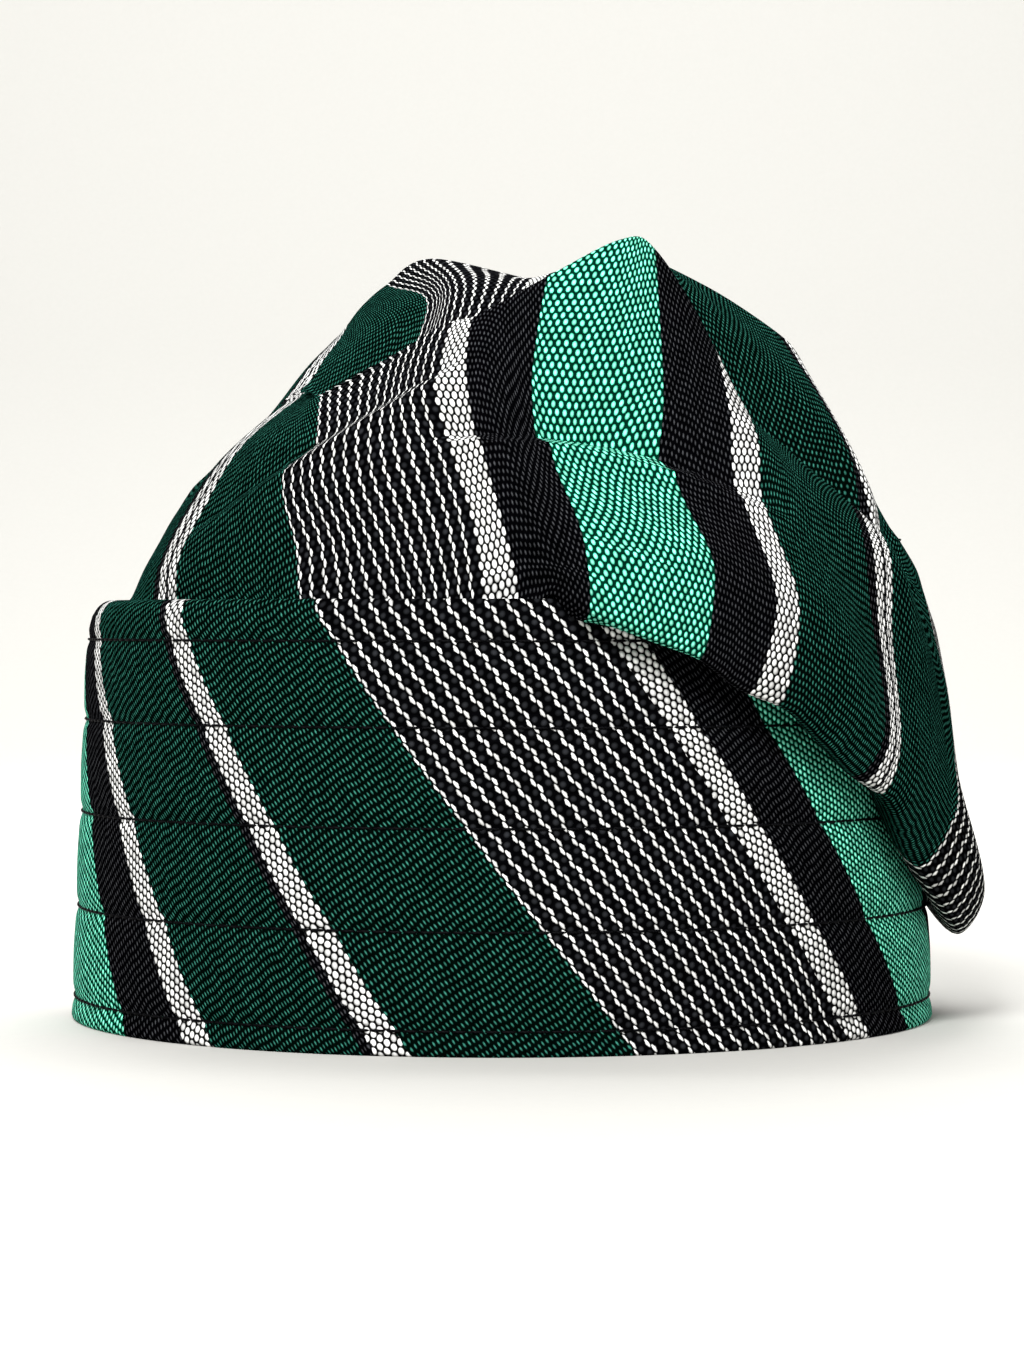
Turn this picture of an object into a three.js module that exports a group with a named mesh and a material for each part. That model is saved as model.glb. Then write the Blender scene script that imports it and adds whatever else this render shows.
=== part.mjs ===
import * as THREE from 'three';

// A soft fila cap: a stiff oval band and a folded crown that hangs over the band on one side.
// Millimetres, +Z up, the cap's front towards -Y. The band stands on the plane z = 0.

// Band
const BAND_HEIGHT = 89.5;
const BAND_WALL = 3.5;
const BAND_HALF_WIDTH_BOTTOM = 92.9;
const BAND_HALF_WIDTH_TOP = 89.2;
const BAND_HALF_DEPTH_BOTTOM = 98;
const BAND_HALF_DEPTH_TOP = 94.5;
const BAND_TOP_ROUND = 3.4;
const BAND_TOP_LEAN = 1.6;
const BAND_TOP_LEAN_FROM = 81;
const BAND_RIM_ROUND = 0.8;
const QUILT_ROWS = [5, 24.3, 44.5, 64.2, 81.2];
const QUILT_GROOVE = 0.6;
const BAND_COLUMNS = 56;
const BAND_INSIDE_ROWS = [89.1, 59, 30];
const TOP_ANGLES = [0, 30, 60, 90];

// Crown
const CROWN_WALL = 1.2;
const CROWN_GAP = 1.5;
const TUCK_HEIGHTS = [76, 83.5, 89.3];
const FRONT_COLUMNS = 36;
const LIP_DEPTH = 60;
const CREST_SETBACK = 20;
const FACE_DEPTH = 14;
const HANG_PROUD = 14;
const HANG_PROUD_TOP = 122;
const HANG_PROUD_SPAN = 32;
const HANG_START = 81;
const HANG_SPAN = 12;
const BACK_HANG_START = -0.2;
const BACK_HANG_SPAN = 0.3;
const BACK_LEVEL_SHARE = 0.1;
const EDGE_RISE = 7;
const BELOW_TOP_ROUND = 1;
const PLEAT_BLEND = 4;
const PLEAT_BACKMOST = -10;
const PLEAT_FADE = 15;
const PLEAT_FADE_STEPS = 2;

// The fold behind the lip grows from the outlines to the middle of the front.
// Each pair is a share of the way at the outlines and in the middle.
const FOLD_START = 0.2;
const FOLD_SPAN = 0.6;
const HOLLOW_SINK = 7;
const HOLLOW_PLACE = [0.66, 0.4];
const LIP_BACK_PLACE = [0.5, 0.3];
const LIP_BACK_RISE = 0.6;

// How far the crown's front stands forward of its middle plane at each height.
// columns: height, front
const FRONT = [
  [90, 88.5],
  [106, 87.5],
  [124, 82.5],
  [143, 72],
  [153, 65],
];

// Ribs of the crown's front, from the left outline to the right one. Each rib follows a warp thread.
// cloth is the distance across the cloth, then x and z at each level, from the lower edge to the crest.
// columns: cloth, foot x z, belly x z, waist x z, brow x z, lip x z, face x z, crest x z
const RIBS = [
  [-46, -80, 90.5, -77.5, 96, -74.4, 101, -71.2, 106.5, -67.4, 113, -62.8, 118, -59, 122],
  [-27, -78.6, 89.8, -76, 95.5, -71.4, 103, -64.2, 112, -55, 121, -51.2, 128, -48, 132.5],
  [-8, -72, 89, -71.5, 96, -66, 107, -56.8, 119.5, -44, 131, -41, 140, -37.5, 146],
  [0, -67, 89, -67, 97, -61.5, 109, -53.6, 121, -41, 132, -38.2, 141, -35.5, 148],
  [17, -52, 88.5, -54, 97.5, -53, 110, -48, 122.5, -40, 131.5, -28, 146, -31, 154],
  [34, -40.3, 88.5, -39.6, 99, -41.9, 111.5, -40, 122, -38, 131.5, -16, 152, -25.5, 159],
  [53, -20, 89, -23, 100, -27, 115, -26, 126.5, -23, 139, -10, 155, -15.5, 165],
  [72, -3.5, 89.5, -5.5, 103, -10, 119, -13, 132, -10, 146, 5, 157, 9.5, 160.5],
  [79, 3.5, 91, 1, 102, -4, 119.5, -6.5, 134, -5.5, 147, 9, 158, 13, 161.5],
  [86, 10, 92.5, 8, 101, 2.5, 120, 0, 135, 2, 151, 13, 159.5, 16.5, 162],
  [93.5, 17, 87.5, 15.5, 101, 8.5, 119, 6.5, 134, 9.5, 155, 17, 160.5, 20, 163],
  [106, 28, 82, 29, 99, 20, 117, 20, 135, 24, 162.3, 26, 162.8, 26.5, 163.8],
  [119.5, 39, 77.5, 41.5, 95, 33.3, 114, 33.1, 131, 31.4, 160.4, 32.2, 163.2, 31.6, 164.6],
  [134, 48.5, 71, 53.8, 89, 47, 110.5, 45.6, 127.5, 43.5, 141, 38.6, 156.4, 34.7, 164.2],
  [140.5, 55, 68.5, 58.8, 88, 52.4, 108, 51.6, 121.5, 48, 131, 43.2, 152.6, 36.9, 163.2],
  [157, 64.5, 60.5, 70.6, 74, 63.5, 101, 60.5, 112.5, 58, 121, 56, 140, 49, 156.5],
  [174.5, 71.8, 53.4, 77, 60.5, 75, 86.5, 74.2, 99.5, 73, 109, 70.5, 126.5, 62, 147],
  [184.5, 76.8, 50.2, 80.2, 58, 79, 83, 79.2, 97.5, 77, 105.5, 76, 119, 64.5, 144],
  [214, 85, 36, 92, 44, 92.3, 61, 88.3, 81, 81.8, 99, 81.5, 108.5, 74.7, 121.5],
  [268, 98.4, 17.3, 104, 24.9, 98.5, 50.5, 96, 70, 94, 82.5, 90, 96, 86, 103],
];

// The back at the same levels: height at the middle, how far it stands back, share of the crest's spread.
// columns: height, back, spread
const BACK_LEVELS = [
  [93, 88, 0],
  [100, 90, 0.02],
  [113, 86, 0.08],
  [126, 78, 0.2],
  [137, 68, 0.35],
  [142, 62, 0.45],
  [148, 53, 0.6],
  [155, 40, 0.8],
];

// Soft pleats across the front: the upper cloth steps back behind a rounded lip of the lower cloth.
// columns: from x z, via x z, to x z, step, lip, reach
const PLEATS = [
  [-67, 101, -36, 120.9, -8, 137, 5, 2, 16],
  [-15, 121, 25, 118, 58, 105, 5.5, 2.5, 15],
];

// Rows of facets between one level of the crown and the next, from the tuck inside the band to the crest.
const STEPS_ABOVE_EDGE = [2, 2, 3, 3, 3, 1, 2, 2, 2];

const clamp = THREE.MathUtils.clamp;
const lerp = THREE.MathUtils.lerp;

// The smooth rise from 0 to 1.
const ease = (x) => THREE.MathUtils.smoothstep(x, 0, 1);

// A table read at a height: straight between its rows, the same beyond its ends.
function readTable(table, height, column) {
  const last = table.length - 1;
  if (height <= table[0][0]) {
    return table[0][column];
  }
  for (let i = 1; i <= last; i += 1) {
    if (height <= table[i][0]) {
      const share = (height - table[i - 1][0]) / (table[i][0] - table[i - 1][0]);
      return lerp(table[i - 1][column], table[i][column], share);
    }
  }
  return table[last][column];
}

// A smooth curve through the ribs, read at a distance across the cloth.
// It is level at the two outlines, where the front turns into the back.
function readRibs(cloth, column) {
  const slope = (i) => (RIBS[i + 1][column] - RIBS[i][column]) / (RIBS[i + 1][0] - RIBS[i][0]);
  const last = RIBS.length - 1;
  const tangent = (i) => {
    if (i === 0 || i === last) {
      return 0;
    }
    const before = RIBS[i][0] - RIBS[i - 1][0];
    const after = RIBS[i + 1][0] - RIBS[i][0];
    return (after * slope(i - 1) + before * slope(i)) / (before + after);
  };
  let i = 0;
  while (i < last - 1 && cloth > RIBS[i + 1][0]) {
    i += 1;
  }
  const span = RIBS[i + 1][0] - RIBS[i][0];
  const t = (cloth - RIBS[i][0]) / span;
  const h = 2 * t ** 3 - 3 * t ** 2;
  const rise = (t ** 3 - 2 * t ** 2 + t) * tangent(i) + (t ** 3 - t ** 2) * tangent(i + 1);
  return (1 + h) * RIBS[i][column] - h * RIBS[i + 1][column] + span * rise;
}

// The band's half width and half depth at a height: they shrink evenly,
// and the width a little more near the top.
function bandAxes(height) {
  const share = height / BAND_HEIGHT;
  const lean = BAND_TOP_LEAN * ease((height - BAND_TOP_LEAN_FROM) / (BAND_HEIGHT - BAND_TOP_LEAN_FROM));
  return [
    lerp(BAND_HALF_WIDTH_BOTTOM, BAND_HALF_WIDTH_TOP, share) - lean,
    lerp(BAND_HALF_DEPTH_BOTTOM, BAND_HALF_DEPTH_TOP, share),
  ];
}

// A point on the band's oval, moved outwards by an offset.
function onBand(angle, offset, height) {
  const [a, b] = bandAxes(height);
  return new THREE.Vector3((a + offset) * Math.cos(angle), (b + offset) * Math.sin(angle), height);
}

// The band's wall in section, going round from the rim up the outside, over the top and down the inside.
function bandSection() {
  const cut = BAND_RIM_ROUND * (1 - Math.SQRT1_2);
  const section = [[-BAND_RIM_ROUND, 0], [-cut, cut], [0, BAND_RIM_ROUND]];
  let below = BAND_RIM_ROUND;
  for (const row of QUILT_ROWS) {
    section.push([0, (below + row) / 2]);
    section.push([-QUILT_GROOVE, row]);
    below = row;
  }
  const turn = BAND_HEIGHT - BAND_TOP_ROUND;
  for (const angle of TOP_ANGLES) {
    const a = THREE.MathUtils.degToRad(angle);
    section.push([BAND_TOP_ROUND * (Math.cos(a) - 1), turn + BAND_TOP_ROUND * Math.sin(a)]);
  }
  BAND_INSIDE_ROWS.forEach((height) => section.push([-BAND_WALL, height]));
  section.push([-BAND_WALL, BAND_RIM_ROUND]);
  section.push([-BAND_WALL + BAND_RIM_ROUND, 0]);
  return section;
}

// A closed geometry from a grid of points: each row closes on itself and the last row meets the first.
function loopGeometry(rows) {
  const count = rows[0].length;
  const points = rows.flat().flatMap((p) => [p.x, p.y, p.z]);
  const index = [];
  for (let r = 0; r < rows.length; r += 1) {
    const next = (r + 1) % rows.length;
    for (let c = 0; c < count; c += 1) {
      const d = (c + 1) % count;
      index.push(r * count + c, r * count + d, next * count + d);
      index.push(r * count + c, next * count + d, next * count + c);
    }
  }
  const geometry = new THREE.BufferGeometry();
  geometry.setAttribute('position', new THREE.Float32BufferAttribute(points, 3));
  geometry.setIndex(index);
  return geometry;
}

function bandGeometry() {
  const rows = bandSection().map(([offset, height]) => {
    const row = [];
    for (let c = 0; c < BAND_COLUMNS; c += 1) {
      row.push(onBand((2 * Math.PI * c) / BAND_COLUMNS, offset, height));
    }
    return row;
  });
  return loopGeometry(rows);
}

// How much a place across the front hangs outside the band: 0 inside, 1 outside.
const frontHang = (cloth) => ease((cloth - HANG_START) / HANG_SPAN);

// How far the hanging cloth stands off at a height.
const proud = (hang, height) => HANG_PROUD * hang * ease((HANG_PROUD_TOP - height) / HANG_PROUD_SPAN);

// The share of a level's depth at x, from 1 in the middle to 0 at its left and right ends.
// Power 0.5 gives a half-ellipse and power 1 a parabola.
function roundness(x, left, right, power) {
  const across = clamp((2 * x - left - right) / (right - left), -1, 1);
  return (1 - across * across) ** power;
}

// A pleat's set-back at x and z: the upper side steps back and recovers, the lower side swells into a lip.
function pleatStep(x, z) {
  let total = 0;
  for (const [x0, z0, x1, z1, x2, z2, step, lip, reach] of PLEATS) {
    const t = (x - x0) / (x2 - x0);
    if (t > 0 && t < 1) {
      const bow = z1 - lerp(z0, z2, (x1 - x0) / (x2 - x0));
      const line = lerp(z0, z2, t) + 4 * bow * t * (1 - t);
      const above = ((z - line) * Math.abs(x2 - x0)) / Math.hypot(x2 - x0, z2 - z0);
      const side = ease(above / PLEAT_BLEND + 0.5);
      const fade = Math.sqrt(Math.sin(Math.PI * t));
      const back = step * Math.exp(-Math.max(above, 0) / reach) * side;
      const forward = lip * Math.exp(Math.min(above, 0) / reach) * (1 - side);
      total += fade * (back - forward);
    }
  }
  return total;
}

// One level of the front's ribs, read at a distance across the cloth and set forward by its depth.
function frontLevel(cloth, level, depthAt, power = 0.5) {
  const x = readRibs(cloth, 1 + 2 * level);
  const z = readRibs(cloth, 2 + 2 * level);
  const left = RIBS[0][1 + 2 * level];
  const right = RIBS[RIBS.length - 1][1 + 2 * level];
  return new THREE.Vector3(x, -depthAt(z) * roundness(x, left, right, power), z);
}

// The crown's levels at one place across the front, from the foot to the crest.
function frontLevels(cloth) {
  const share = (cloth - RIBS[0][0]) / (RIBS[RIBS.length - 1][0] - RIBS[0][0]);
  const wall = (z) => readTable(FRONT, z, 1) + proud(frontHang(cloth), z);
  const walls = [0, 1, 2, 3].map((level) => frontLevel(cloth, level, wall));
  const lip = frontLevel(cloth, 4, () => LIP_DEPTH);
  const face = frontLevel(cloth, 5, () => FACE_DEPTH);
  const crest = frontLevel(cloth, 6, () => -CREST_SETBACK, 1);
  const fold = ease((Math.sin(Math.PI * share) - FOLD_START) / FOLD_SPAN);
  const hollow = lip.clone().lerp(face, lerp(...HOLLOW_PLACE, fold));
  hollow.z = lerp(hollow.z, Math.min(lip.z, face.z) - HOLLOW_SINK, fold);
  const lipBack = lip.clone().lerp(hollow, lerp(...LIP_BACK_PLACE, fold));
  lipBack.z = lerp(lipBack.z, lip.z, LIP_BACK_RISE * fold);
  return [...walls, lip, lipBack, hollow, face, crest];
}

// The crown's levels down the back, between the same left and right ends and with the same crest.
function backLevels(share, left, right, crest) {
  const turn = -Math.cos(Math.PI * share);
  return BACK_LEVELS.map(([height, back, spread], level) => {
    const middle = (left[level].x + right[level].x) / 2;
    const half = (right[level].x - left[level].x) / 2;
    const x = lerp(middle + half * turn, crest.x, spread * Math.sin(Math.PI * share));
    const across = (x - middle) / half;
    const beyond = Math.max(0, (across - BACK_LEVEL_SHARE) / (1 - BACK_LEVEL_SHARE));
    const drop = across < 0 ? across * across : beyond * beyond;
    const z = lerp(height, across < 0 ? left[level].z : right[level].z, drop);
    const hang = backHang(across);
    const depth = (back + proud(hang, z)) * roundness(x, left[level].x, right[level].x, 0.5);
    return new THREE.Vector3(x, depth, z);
  });
}

// How much a place across the back hangs outside the band.
const backHang = (across) => ease((across - BACK_HANG_START) / BACK_HANG_SPAN);

// The path beside the band's wall in section: up its inside, over its rounded top and down its outside.
function wallPath(endHeight) {
  const inside = -BAND_WALL - CROWN_GAP;
  const round = BAND_TOP_ROUND + CROWN_GAP;
  const path = TUCK_HEIGHTS.map((height) => [inside, height]);
  for (const angle of TOP_ANGLES.toReversed()) {
    const a = THREE.MathUtils.degToRad(angle);
    const height = BAND_HEIGHT - BAND_TOP_ROUND + round * Math.sin(a);
    path.push([round * Math.cos(a) - BAND_TOP_ROUND, height]);
  }
  path.push([CROWN_GAP, Math.min(endHeight, BAND_HEIGHT - BAND_TOP_ROUND - BELOW_TOP_ROUND)]);
  return path;
}

// The cloth below the crown's foot: along the band's wall as far as it hangs, then straight to the foot.
function underLevels(foot, hang) {
  const angle = Math.atan2(foot.y / BAND_HALF_DEPTH_TOP, foot.x / BAND_HALF_WIDTH_TOP);
  const path = wallPath(foot.z + EDGE_RISE);
  const last = path.length - 1;
  const end = lerp(1, last, hang);
  const along = (w) => {
    const i = Math.min(Math.floor(w), last - 1);
    return onBand(angle, lerp(path[i][0], path[i + 1][0], w - i), lerp(path[i][1], path[i + 1][1], w - i));
  };
  return path.map((_, k) => {
    if (k <= end) {
      return along(k);
    }
    return along(end).lerp(foot, (k - end) / (last + 1 - end));
  });
}

// One rib of the crown from the tuck to the crest, as a smooth curve through its levels.
function ribPoints(under, levels) {
  const stops = [...under, ...levels];
  const curve = new THREE.CatmullRomCurve3(stops, false, 'centripetal');
  const steps = [...new Array(under.length - 1).fill(1), ...STEPS_ABOVE_EDGE];
  const points = [];
  for (let k = 0; k < steps.length; k += 1) {
    for (let j = 0; j < steps[k]; j += 1) {
      points.push(curve.getPoint((k + j / steps[k]) / (stops.length - 1)));
    }
  }
  points.push(levels[levels.length - 1].clone());
  return points;
}

// Sets a front rib's wall back along the pleats, from its foot up to the lip and not beside the outlines.
function setPleats(rib, foot) {
  const lip = foot + STEPS_ABOVE_EDGE[1] + STEPS_ABOVE_EDGE[2] + STEPS_ABOVE_EDGE[3] + STEPS_ABOVE_EDGE[4];
  for (let r = foot; r <= lip; r += 1) {
    const p = rib[r];
    const ends = ease((r - foot) / PLEAT_FADE_STEPS) * ease((lip - r) / PLEAT_FADE_STEPS);
    p.y += ends * ease((PLEAT_BACKMOST - p.y) / PLEAT_FADE) * pleatStep(p.x, p.z);
  }
}

// The ring of ribs: the front from left to right, then the back from right to left.
function crownRibs() {
  const clothLeft = RIBS[0][0];
  const clothRight = RIBS[RIBS.length - 1][0];
  const fronts = [];
  for (let c = 0; c <= FRONT_COLUMNS; c += 1) {
    fronts.push(frontLevels(lerp(clothLeft, clothRight, c / FRONT_COLUMNS)));
  }
  const ribs = fronts.map((levels, c) => {
    const hang = frontHang(lerp(clothLeft, clothRight, c / FRONT_COLUMNS));
    const under = underLevels(levels[0], hang);
    const rib = ribPoints(under, levels);
    setPleats(rib, under.length - 1 + STEPS_ABOVE_EDGE[0]);
    return rib;
  });
  const left = fronts[0];
  const right = fronts[FRONT_COLUMNS];
  const middle = (left[0].x + right[0].x) / 2;
  const half = (right[0].x - left[0].x) / 2;
  for (let c = FRONT_COLUMNS - 1; c > 0; c -= 1) {
    const crest = fronts[c][left.length - 1];
    const levels = [...backLevels(c / FRONT_COLUMNS, left, right, crest), crest];
    const hang = backHang((levels[0].x - middle) / half);
    ribs.push(ribPoints(underLevels(levels[0], hang), levels));
  }
  return ribs;
}

// The crown's cloth: the ring of ribs, joined along the crest, and the same surface again one wall inside it.
function crownGeometry() {
  const ribs = crownRibs();
  const rows = ribs[0].map((_, r) => ribs.map((rib) => rib[r]));
  return thicken(surface(rows, joinCrest(rows)), rows[0].length);
}

// The crest is one line: the back's points there are the front's.
function joinCrest(rows) {
  const count = rows[0].length;
  const first = (rows.length - 1) * count;
  return rows[0].map((_, c) => first + (c <= FRONT_COLUMNS ? c : count - c));
}

// The points and triangles of the crown's outer side, without the flat slivers at the crest's two ends.
function surface(rows, crestRow) {
  const count = rows[0].length;
  const name = (r, c) => (r === rows.length - 1 ? crestRow[c % count] : r * count + (c % count));
  const triangles = [];
  for (let r = 0; r < rows.length - 1; r += 1) {
    for (let c = 0; c < count; c += 1) {
      const quad = [name(r, c), name(r, c + 1), name(r + 1, c + 1), name(r + 1, c)];
      triangles.push([quad[0], quad[1], quad[2]], [quad[0], quad[2], quad[3]]);
    }
  }
  const points = rows.flat();
  return { points, triangles: triangles.filter((t) => new Set(t).size === 3) };
}

// A closed wall from an open skin: the skin, its copy one wall further in, and the strip between their edges.
function thicken({ points, triangles }, edgeCount) {
  const normals = points.map(() => new THREE.Vector3());
  const ab = new THREE.Vector3();
  const ac = new THREE.Vector3();
  for (const [a, b, c] of triangles) {
    ab.subVectors(points[b], points[a]);
    ac.subVectors(points[c], points[a]);
    ab.cross(ac);
    [a, b, c].forEach((i) => normals[i].add(ab));
  }
  const inner = points.map((p, i) => p.clone().addScaledVector(normals[i].normalize(), -CROWN_WALL));
  const shift = points.length;
  const index = [];
  for (const [a, b, c] of triangles) {
    index.push(a, b, c);
    index.push(c + shift, b + shift, a + shift);
  }
  for (let c = 0; c < edgeCount; c += 1) {
    const d = (c + 1) % edgeCount;
    index.push(c, c + shift, d + shift);
    index.push(c, d + shift, d);
  }
  const geometry = new THREE.BufferGeometry();
  const flat = [...points, ...inner].flatMap((p) => [p.x, p.y, p.z]);
  geometry.setAttribute('position', new THREE.Float32BufferAttribute(flat, 3));
  geometry.setIndex(index);
  return geometry;
}

// A named mesh with the cloth's colour.
function clothMesh(name, geometry, colour) {
  const material = new THREE.MeshStandardMaterial({ color: colour, roughness: 0.75, metalness: 0 });
  material.name = name + '_cloth';
  const mesh = new THREE.Mesh(geometry, material);
  mesh.name = name;
  return mesh;
}

const cap = new THREE.Group();
cap.name = 'fila_cap';
cap.add(clothMesh('band', bandGeometry(), 0x1d4a41));
cap.add(clothMesh('crown', crownGeometry(), 0x2c5f52));

// The origin stands on the floor under the middle of the cap's outline.
const outline = new THREE.Box3().setFromObject(cap);
const centre = outline.getCenter(new THREE.Vector3());
cap.children.forEach((mesh) => mesh.geometry.translate(-centre.x, -centre.y, -outline.min.z));

export default cap;
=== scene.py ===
import math

import bpy
import numpy as np
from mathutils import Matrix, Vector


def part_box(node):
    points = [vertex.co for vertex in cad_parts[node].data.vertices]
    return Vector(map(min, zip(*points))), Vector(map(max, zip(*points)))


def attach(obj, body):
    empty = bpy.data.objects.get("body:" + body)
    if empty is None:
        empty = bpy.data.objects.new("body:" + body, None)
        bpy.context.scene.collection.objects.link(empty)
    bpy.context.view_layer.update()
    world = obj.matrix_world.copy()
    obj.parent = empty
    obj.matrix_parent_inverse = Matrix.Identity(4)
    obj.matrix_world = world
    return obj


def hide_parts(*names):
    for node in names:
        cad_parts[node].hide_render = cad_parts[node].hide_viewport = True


# A soft fila cap of striped hand-woven cloth: a stiff oval band, sewn through in rows, and a folded crown
# that hangs over the band on one side. Tables and sizes are millimetres with the band's axis at x = y = 0
# and its rim on z = 0; the meshes are metres in the part's own frame.
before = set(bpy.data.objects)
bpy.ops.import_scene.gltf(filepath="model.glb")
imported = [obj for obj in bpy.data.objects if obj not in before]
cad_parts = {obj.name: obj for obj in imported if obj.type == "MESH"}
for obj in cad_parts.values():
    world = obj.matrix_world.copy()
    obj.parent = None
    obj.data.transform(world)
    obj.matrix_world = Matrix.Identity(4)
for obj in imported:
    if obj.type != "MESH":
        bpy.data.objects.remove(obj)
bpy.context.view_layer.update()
MM = 0.001

# Band. A pair of half widths or half depths is at the rim and at the top.
BAND_HEIGHT = 89.5
BAND_WALL = 3.5
BAND_HALF_WIDTH = (92.9, 89.2)
BAND_HALF_DEPTH = (98.0, 94.5)
BAND_TOP_ROUND = 3.4
BAND_LEAN = 1.6
BAND_LEAN_FROM = 81.0
BAND_RIM_ROUND = 0.8
BAND_INSIDE_DROP = 0.6
SEWN_ROWS = (5.0, 24.3, 44.5, 64.2, 81.2)
SEWN_GROOVE = 0.6
SEWN_GROOVE_WIDTH = 1.5
PANEL_PUFF = 0.25
PANEL_PUFF_WIDTH = 6.0
BACK_SEAM_DEPTH = 0.8
BACK_SEAM_WIDTH = 1.3

# Facets of the band, and the steps in which its girth is measured
BAND_COLUMNS = 440
BAND_OUTSIDE_ROWS = 92
BAND_INSIDE_ROWS = 22
BAND_TOP_ROWS = 8
BAND_RIM_ROWS = 3
GIRTH_STEPS = 2000

# Crown
CROWN_WALL = 1.2
CROWN_GAP = 0.7
TUCK_HEIGHTS = (76.0, 83.5, 89.3)
TOP_ANGLES = (90, 60, 30, 0)
BELOW_TOP_ROUND = 1.0
FRONT_COLUMNS = 168
LIP_DEPTH = 60.0
CREST_SETBACK = 20.0
FACE_DEPTH = 14.0
HANG_PROUD = 14.0
HANG_PROUD_TOP = 122.0
HANG_PROUD_SPAN = 32.0
HANG_START = 81.0
HANG_SPAN = 12.0
BACK_HANG_START = -0.2
BACK_HANG_SPAN = 0.3
BACK_LEVEL_SHARE = 0.1
EDGE_RISE = 7.0
PLEAT_BLEND = 1.0
PLEAT_BACKMOST = -10.0
PLEAT_FADE = 15.0
PLEAT_FADE_ROWS = 5
SLIP_REACH = 1.2
LEAST_GAP = 1e-6

# The fold behind the lip grows from the outlines to the middle of the front. Each pair is a share of the way
# at the outlines and in the middle.
FOLD_START = 0.2
FOLD_SPAN = 0.6
HOLLOW_SINK = 7.0
HOLLOW_PLACE = (0.66, 0.4)
LIP_BACK_PLACE = (0.5, 0.3)
LIP_BACK_RISE = 0.6

# How far the crown's front stands forward at each height. Columns: height, front.
FRONT = np.array([(90, 88.5), (106, 87.5), (124, 82.5), (143, 72), (153, 65)], float)

# Ribs of the crown's front, each along a warp thread, from the left outline to the right one.
# Columns: cloth, then x and z at the foot, belly, waist, brow, lip, face and crest.
FOOT, BELLY, WAIST, BROW, LIP, FACE, CREST = range(7)
RIBS = np.array([
    (-46, -80, 90.5, -77.5, 96, -74.4, 101, -71.2, 106.5, -67.4, 113, -62.8, 118, -59, 122),
    (-27, -78.6, 89.8, -76, 95.5, -71.4, 103, -64.2, 112, -55, 121, -51.2, 128, -48, 132.5),
    (-8, -72, 89, -71.5, 96, -66, 107, -56.8, 119.5, -44, 131, -41, 140, -37.5, 146),
    (0, -67, 89, -67, 97, -61.5, 109, -53.6, 121, -41, 132, -38.2, 141, -35.5, 148),
    (17, -52, 88.5, -54, 97.5, -53, 110, -48, 122.5, -40, 131.5, -28, 146, -31, 154),
    (34, -40.3, 88.5, -39.6, 99, -41.9, 111.5, -40, 122, -38, 131.5, -16, 152, -25.5, 159),
    (53, -20, 89, -23, 100, -27, 115, -26, 126.5, -23, 139, -10, 155, -15.5, 165),
    (72, -3.5, 89.5, -5.5, 103, -10, 119, -13, 132, -10, 146, 5, 157, 9.5, 160.5),
    (79, 3.5, 91, 1, 102, -4, 119.5, -6.5, 134, -5.5, 147, 9, 158, 13, 161.5),
    (86, 10, 92.5, 8, 101, 2.5, 120, 0, 135, 2, 151, 13, 159.5, 16.5, 162),
    (93.5, 17, 87.5, 15.5, 101, 8.5, 119, 6.5, 134, 9.5, 155, 17, 160.5, 20, 163),
    (106, 28, 82, 29, 99, 20, 117, 20, 135, 24, 162.3, 26, 162.8, 26.5, 163.8),
    (119.5, 39, 77.5, 41.5, 95, 33.3, 114, 33.1, 131, 31.4, 160.4, 32.2, 163.2, 31.6, 164.6),
    (134, 48.5, 71, 53.8, 89, 47, 110.5, 45.6, 127.5, 43.5, 141, 38.6, 156.4, 34.7, 164.2),
    (140.5, 55, 68.5, 58.8, 88, 52.4, 108, 51.6, 121.5, 48, 131, 43.2, 152.6, 36.9, 163.2),
    (157, 64.5, 60.5, 70.6, 74, 63.5, 101, 60.5, 112.5, 58, 121, 56, 140, 49, 156.5),
    (174.5, 71.8, 53.4, 77, 60.5, 75, 86.5, 74.2, 99.5, 73, 109, 70.5, 126.5, 62, 147),
    (184.5, 76.8, 50.2, 80.2, 58, 79, 83, 79.2, 97.5, 77, 105.5, 76, 119, 64.5, 144),
    (214, 85, 36, 92, 44, 92.3, 61, 88.3, 81, 81.8, 99, 81.5, 108.5, 74.7, 121.5),
    (268, 98.4, 17.3, 104, 24.9, 98.5, 50.5, 96, 70, 94, 82.5, 90, 96, 86, 103),
], float)

# The back at the front's levels below the crest.
# Columns: height at the middle, how far it stands back, share of the crest's spread.
BACK_LEVELS = np.array([
    (93, 88, 0),
    (100, 90, 0.02),
    (113, 86, 0.08),
    (126, 78, 0.2),
    (137, 68, 0.35),
    (142, 62, 0.45),
    (148, 53, 0.6),
    (155, 40, 0.8),
], float)

# Pleats across the front: above its line the cloth steps back behind a rounded lip, and its stripes slip
# sideways. Columns: from x z, via x z, to x z, step, lip, reach, slip.
PLEATS = (
    (-67, 101, -36, 120.9, -8, 137, 5.0, 2.5, 14, -9.0),
    (-15, 121, 25, 118, 58, 105, 5.5, 3.0, 13, 3.5),
    (-4, 94, 8, 96, 20, 93, 1.2, 0.9, 4, 0.0),
    (14, 102, 24, 99.5, 36, 94, 0.8, 1.0, 6, 0.0),
)

# Facet rows between one stop of the crown and the next: from the tuck inside the band to the band's outside,
# and from there to the foot, belly, waist, brow, lip, lip's back, hollow, face and crest.
UNDER_STEPS = (3, 3, 2, 3, 3, 3, 3)
LEVEL_STEPS = (6, 12, 20, 18, 22, 5, 9, 11, 12)

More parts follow.
